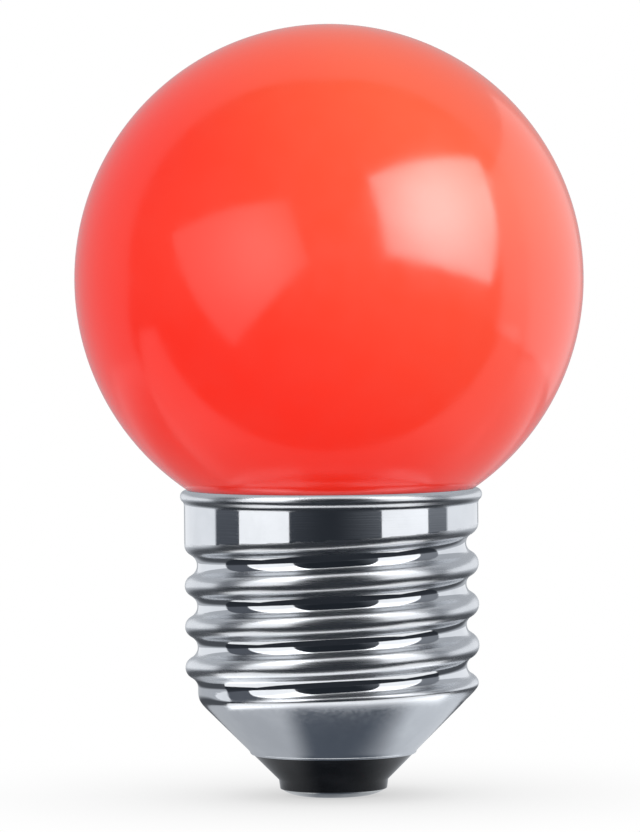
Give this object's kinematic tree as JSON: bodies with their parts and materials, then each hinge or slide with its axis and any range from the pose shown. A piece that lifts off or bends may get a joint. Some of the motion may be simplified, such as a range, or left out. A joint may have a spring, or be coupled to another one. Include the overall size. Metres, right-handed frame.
{
  "type": "led globe bulb",
  "caption": "Red globe lamp bulb with a rolled metal screw cap, black insulator and centre contact, for a screw lamp holder.",
  "frame": {"origin": "centre of the contact's flat face, on the bulb's axis", "axes": "+Z along the axis from the contact to the top of the globe, -Y is the side that the picture shows"},
  "size_m": [0.045, 0.045, 0.0682],
  "materials": {
    "red_plastic": "glossy opaque red moulded plastic",
    "nickel_plate": "bright nickel plating on rolled sheet, satin on the cone",
    "black_glass": "glossy black",
    "contact_metal": "bright pressed plate"
  },
  "bodies": {
    "root": {"globe": "red_plastic", "screw_shell": "nickel_plate", "insulator": "black_glass", "centre_contact": "contact_metal"}
  },
  "joints": []
}
